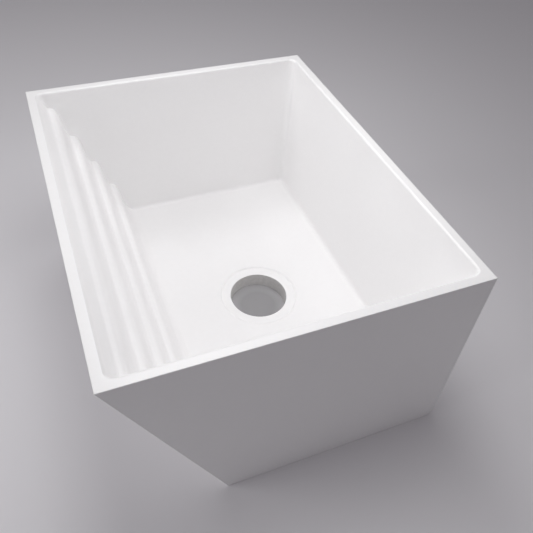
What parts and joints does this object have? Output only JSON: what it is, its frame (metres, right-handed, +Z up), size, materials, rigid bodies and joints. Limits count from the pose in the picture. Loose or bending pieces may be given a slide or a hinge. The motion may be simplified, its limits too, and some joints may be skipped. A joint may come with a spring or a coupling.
{
  "type": "butler sink",
  "caption": "Deep rectangular undermount butler sink with one sloping washboard end, upright walls on the other sides and a central round waste hole.",
  "frame": {"origin": "middle of the sink's bounding box, level with its underside", "axes": "+Z up; +X across the sink from the washboard end to the deep end; +Y along its longer side, from the front face that the picture shows to the back face"},
  "size_m": [0.43, 0.53, 0.28],
  "materials": {
    "solid_surface": "glossy"
  },
  "bodies": {
    "root": {"front_panel": "solid_surface", "back_panel": "solid_surface", "deep_end_panel": "solid_surface", "washboard_panel": "solid_surface", "washboard_rib_1": "solid_surface", "washboard_rib_2": "solid_surface", "washboard_rib_3": "solid_surface", "washboard_rib_4": "solid_surface", "floor_panel": "solid_surface", "base_panel": "solid_surface", "front_corner_cove": "solid_surface", "back_corner_cove": "solid_surface", "deep_end_floor_cove": "solid_surface", "front_floor_cove": "solid_surface", "back_floor_cove": "solid_surface", "washboard_foot_cove": "solid_surface"}
  },
  "joints": []
}
